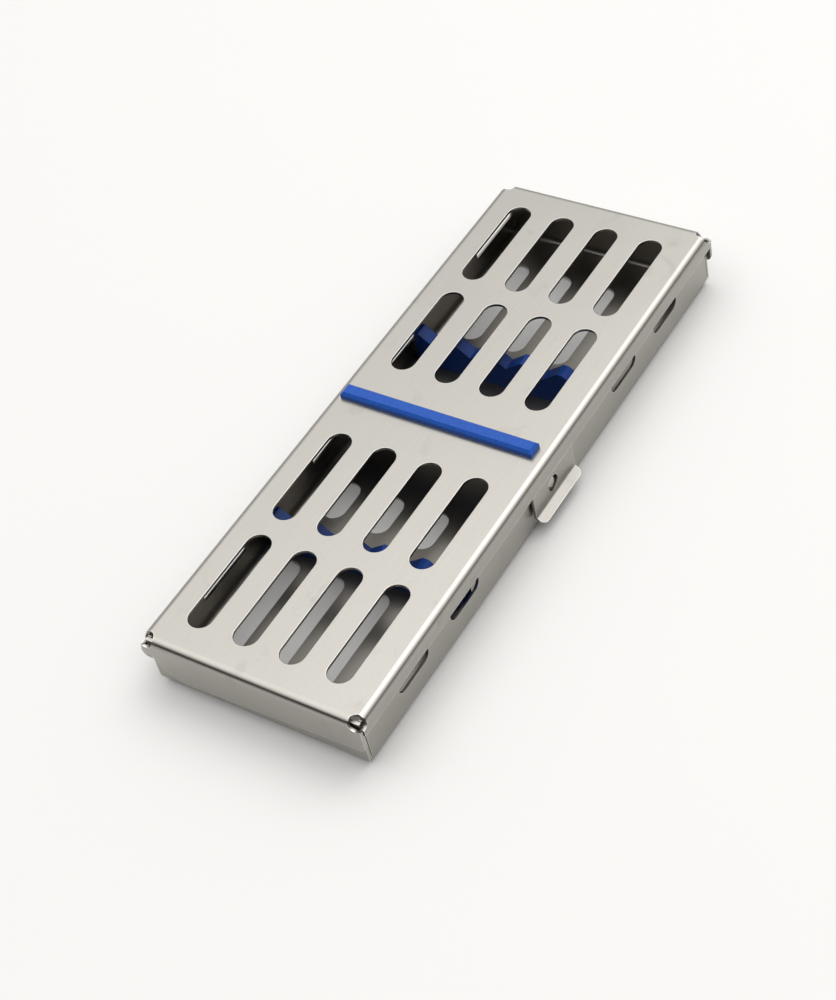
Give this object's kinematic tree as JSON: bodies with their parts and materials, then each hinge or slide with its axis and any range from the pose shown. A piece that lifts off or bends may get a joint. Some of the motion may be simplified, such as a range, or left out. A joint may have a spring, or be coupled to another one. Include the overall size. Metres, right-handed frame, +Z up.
{
  "type": "instrument tray",
  "caption": "Shallow slotted steel sterilising tray with a rear-hinged lid, a sprung finger latch and notched blue silicone instrument racks inside.",
  "frame": {"origin": "centre of the base tray's footprint, on the surface that the tray stands on", "axes": "+X along the length, away from the end with the long base knuckle; -Y towards the latch, +Y towards the hinge; +Z up"},
  "size_m": [0.18, 0.0691, 0.0195],
  "materials": {
    "brushed_stainless": "satin sheet",
    "polished_stainless": "polished",
    "blue_silicone": "moulded silicone"
  },
  "bodies": {
    "base": {"base_tray": "brushed_stainless", "latch_stud": "polished_stainless", "hinge_pin": "polished_stainless", "rack_near": "blue_silicone", "rail_near": "brushed_stainless", "rack_far": "blue_silicone", "rail_far": "brushed_stainless"},
    "lid": {"lid_shell": "brushed_stainless", "lid_silicone_strip": "blue_silicone"},
    "latch": {"latch_tongue": "brushed_stainless"}
  },
  "joints": [
    {"name": "lid_hinge", "type": "hinge", "parent": "base", "child": "lid", "pos_m": [0, 0.03235, 0.0101], "axis": [-1, 0, 0], "range_deg": [0, 180]},
    {"name": "latch_flex", "type": "hinge", "parent": "lid", "child": "latch", "pos_m": [-0.0004, -0.0323, 0.01275], "axis": [-1, 0, 0], "range_deg": [0, 12], "stiffness_Nm_per_rad": 0.05}
  ]
}
